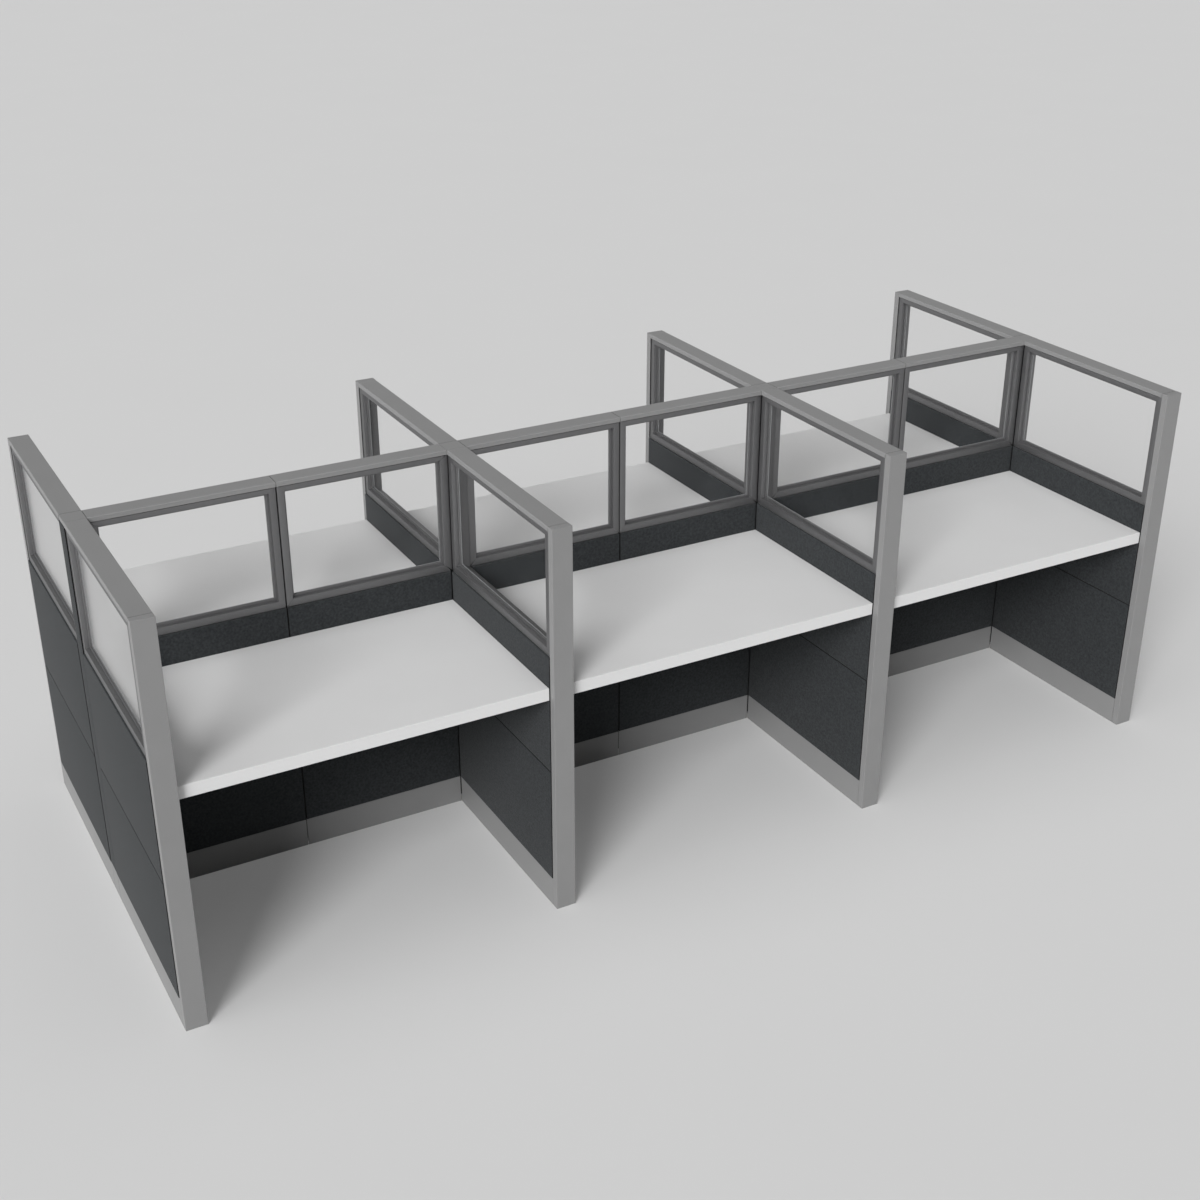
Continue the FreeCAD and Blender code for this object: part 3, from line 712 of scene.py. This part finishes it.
def screw_tree(material):
    """A node tree that sets a cross-head screw on each point, turned to the point's own facing."""
    tree = bpy.data.node_groups.new("screws", "GeometryNodeTree")
    tree.interface.new_socket("Geometry", in_out="INPUT", socket_type="NodeSocketGeometry")
    tree.interface.new_socket("Geometry", in_out="OUTPUT", socket_type="NodeSocketGeometry")
    for name in ("Head Radius", "Head Height"):
        tree.interface.new_socket(name, in_out="INPUT", socket_type="NodeSocketFloat")
    seat = Wire(tree, None)
    points = seat.node("NodeGroupInput", {}, {}, "Geometry")
    radius = points.twin("Head Radius")
    height = points.twin("Head Height")
    half_height = height * 0.5
    neck = radius * SCREW_NECK_SHARE
    slim = radius * SCREW_SLOT_SHARE

    def vector(x, y, z):
        return seat.node("ShaderNodeCombineXYZ", {}, {"X": x, "Y": y, "Z": z})

    def cone(bottom, top):
        return seat.node("GeometryNodeMeshCone", {}, {
            "Vertices": SCREW_SIDES, "Radius Bottom": bottom, "Radius Top": top, "Depth": half_height})

    def raised(part, rise):
        return seat.node("GeometryNodeTransform", {}, {
            "Geometry": part, "Translation": vector(0.0, 0.0, rise)})

    crown = raised(cone(neck, radius * SCREW_CROWN_SHARE), half_height)
    head = seat.node("GeometryNodeMeshBoolean", {"operation": "UNION"}, {})
    for part in (cone(radius, neck), crown):
        tree.links.new(part.socket, head.socket.node.inputs[1])
    recess = seat.node("GeometryNodeMeshBoolean", {"operation": "DIFFERENCE"}, {0: head})
    for size in (vector(radius, slim, height), vector(slim, radius, height)):
        bar = seat.node("GeometryNodeMeshCube", {}, {"Size": size})
        tree.links.new(raised(bar, height).socket, recess.socket.node.inputs[1])
    facing = seat.node("GeometryNodeInputNamedAttribute", {"data_type": "FLOAT_VECTOR"},
                       {"Name": "facing"})
    turn = seat.node("FunctionNodeAlignRotationToVector", {"axis": "Z"}, {"Vector": facing})
    placed = seat.node("GeometryNodeInstanceOnPoints", {},
                       {"Points": points, "Instance": recess, "Rotation": turn})
    real = seat.node("GeometryNodeRealizeInstances", {}, {"Geometry": placed})
    coated = seat.node("GeometryNodeSetMaterial", {}, {"Geometry": real, "Material": material})
    seat.node("NodeGroupOutput", {}, {"Geometry": coated})
    return tree


def grown(points, tree, inputs):
    """The plain mesh that a node tree grows on a cloud of points with a facing each."""
    cloud = bpy.data.meshes.new("points")
    cloud.from_pydata([spot for spot, facing in points], [], [])
    marks = cloud.attributes.new("facing", "FLOAT_VECTOR", "POINT")
    marks.data.foreach_set("vector", [part for spot, facing in points for part in facing])
    holder = bpy.data.objects.new("points", cloud)
    bpy.context.scene.collection.objects.link(holder)
    modifier = holder.modifiers.new("grow", "NODES")
    modifier.node_group = tree
    for item in tree.interface.items_tree:
        if item.name in inputs:
            modifier[item.identifier] = inputs[item.name]
    graph = bpy.context.evaluated_depsgraph_get()
    mesh = bpy.data.meshes.new_from_object(holder.evaluated_get(graph))
    bpy.data.objects.remove(holder)
    return mesh


screws = grown(screw_spots, screw_tree(zinc), {"Head Radius": SCREW_RADIUS, "Head Height": SCREW_HEIGHT})
seat_piece("support_screws", screws, zinc, "zinc_steel")


# Worksurfaces
# Boards faced with white laminate, with a 2 mm plastic band pressed on the front edge. The laminate has a
# fine pebbled grain, and the band is a little smoother and rounder at its corners.
BOARD_ROUND = 0.5 * MM
BAND_ROUND = 1.2 * MM
WORKSURFACES = 6
WHITE = shade(212, 212, 212)
PEBBLE_SIZE = 1.8 * MM
PEBBLE_DEPTH = 0.03 * MM
PEBBLE_SHARE = 0.4
HAZE_SIZE = 160.0 * MM
HAZE_ROUGHNESS = 0.1
LAMINATE_VARIES = 0.03
LAMINATE_ROUGHNESS = 0.42
RIPPLE_SIZE = 5.0 * MM
RIPPLE_DEPTH = 0.02 * MM
RIPPLE_ROUGHNESS = 0.08
BAND_DARK = lightened(WHITE, 0.99)
BAND_LIGHT = lightened(WHITE, 1.04)
BAND_ROUGHNESS = 0.36

laminate, place = new_material("laminate_face")
pebble = grain(place, PEBBLE_SIZE)
haze = grain(place, HAZE_SIZE, detail=4.0)
surface(
    place,
    Base_Color=varied(haze * (1 - PEBBLE_SHARE) + pebble * PEBBLE_SHARE, WHITE, LAMINATE_VARIES),
    Roughness=LAMINATE_ROUGHNESS + haze * HAZE_ROUGHNESS,
    Normal=bump(pebble, PEBBLE_DEPTH),
)
band, place = new_material("edge_plastic")
ripple = grain(place, RIPPLE_SIZE)
surface(
    place,
    Base_Color=between(ripple, BAND_DARK, BAND_LIGHT),
    Roughness=BAND_ROUGHNESS + ripple * RIPPLE_ROUGHNESS,
    Normal=bump(ripple, RIPPLE_DEPTH),
)
for number in range(1, WORKSURFACES + 1):
    eased_copy(f"worksurface_{number}", "faced", laminate, "white_laminate", BOARD_ROUND)
eased_copy("worksurface_edges", "banded", band, "white_edge", BAND_ROUND, segments=3)


# Studio
# A pale floor without an end, a faint sky, two broad lamps to the left of the front and a soft one above.
# The camera stands where the photograph was taken from.
FLOOR_REACH = 60.0
FLOOR_GREY = shade(212, 212, 212)
BACKDROP_GREY = shade(203, 203, 203)
FLOOR_GLOW = 0.15
DUST_SIZE = 0.8
DUST_VARIES = 0.01
SKY_LEVEL = 0.13
BACKDROP_RISE = (0.15, 0.4)
LAMPS = {
    "key": {"level": 2.75, "spread": 24, "azimuth": 47, "height": 31},
    "side": {"level": 1.4, "spread": 60, "azimuth": 76, "height": 13},
    "above": {"level": 0.75, "spread": 70, "azimuth": 0, "height": 90},
}
CAMERA_AT = (-2.4369, -4.3141, 2.9935)
CAMERA_TURN = (64.036, 0, -28.9)
LENS_LENGTH = 50
SENSOR_WIDTH = 36


def shown_rays(seat):
    """1 on rays that show a surface, straight or in metal and glass, and 0 on rays that only light it."""
    path = seat.node("ShaderNodeLightPath", {}, {}, "Is Camera Ray")
    shown = path + path.twin("Is Glossy Ray") + path.twin("Is Transmission Ray")
    return shown.maths("MINIMUM", shown, 1.0)


floor_finish, place = new_material("floor_finish")
dust = grain(place, DUST_SIZE, detail=3.0)
matt = place.node("ShaderNodeBsdfDiffuse", {}, {"Color": varied(dust, FLOOR_GREY, DUST_VARIES)})
glow = place.node("ShaderNodeEmission", {}, {"Color": BACKDROP_GREY})
lifted = place.node("ShaderNodeMixShader", {}, {0: shown_rays(place) * FLOOR_GLOW, 1: matt, 2: glow})
place.node("ShaderNodeOutputMaterial", {}, {"Surface": lifted})
corners = [(-1, -1), (1, -1), (1, 1), (-1, 1)]
floor_mesh = bpy.data.meshes.new("floor")
floor_mesh.from_pydata([(x * FLOOR_REACH, y * FLOOR_REACH, 0) for x, y in corners], [], [(0, 1, 2, 3)])
floor_mesh.materials.append(floor_finish)
floor = bpy.data.objects.new("floor", floor_mesh)
bpy.context.scene.collection.objects.link(floor)

world = bpy.data.worlds.new("studio")
bpy.context.scene.world = world
world.use_nodes = True
world.node_tree.nodes.clear()
seat = Wire(world.node_tree, None)
toward = seat.node("ShaderNodeTexCoord", {}, {}, "Generated")
rise = seat.node("ShaderNodeSeparateXYZ", {}, {"Vector": toward}, "Z")
horizon = rise.node("ShaderNodeMapRange", {"interpolation_type": "SMOOTHSTEP"}, {
    "Value": rise,
    "From Min": BACKDROP_RISE[0],
    "From Max": BACKDROP_RISE[1],
    "To Min": 1.0,
    "To Max": 0.0,
})
sky = seat.node("ShaderNodeBackground", {}, {"Color": (1, 1, 1, 1), "Strength": SKY_LEVEL})
backdrop = seat.node("ShaderNodeBackground", {}, {"Color": BACKDROP_GREY, "Strength": 1.0})
blend = seat.node("ShaderNodeMixShader", {}, {0: shown_rays(seat) * horizon, 1: sky, 2: backdrop})
seat.node("ShaderNodeOutputWorld", {}, {"Surface": blend})

for name, lamp in LAMPS.items():
    sun = bpy.data.lights.new(name, "SUN")
    sun.energy = lamp["level"]
    sun.angle = math.radians(lamp["spread"])
    lit = bpy.data.objects.new(name, sun)
    lit.rotation_euler = (math.radians(90 - lamp["height"]), 0, math.radians(-lamp["azimuth"]))
    bpy.context.scene.collection.objects.link(lit)

lens = bpy.data.cameras.new("camera")
lens.lens = LENS_LENGTH
lens.sensor_width = SENSOR_WIDTH
camera = bpy.data.objects.new("camera", lens)
camera.location = CAMERA_AT
camera.rotation_euler = [math.radians(angle) for angle in CAMERA_TURN]
bpy.context.scene.collection.objects.link(camera)
bpy.context.scene.camera = camera
bpy.context.scene.view_settings.view_transform = "Standard"
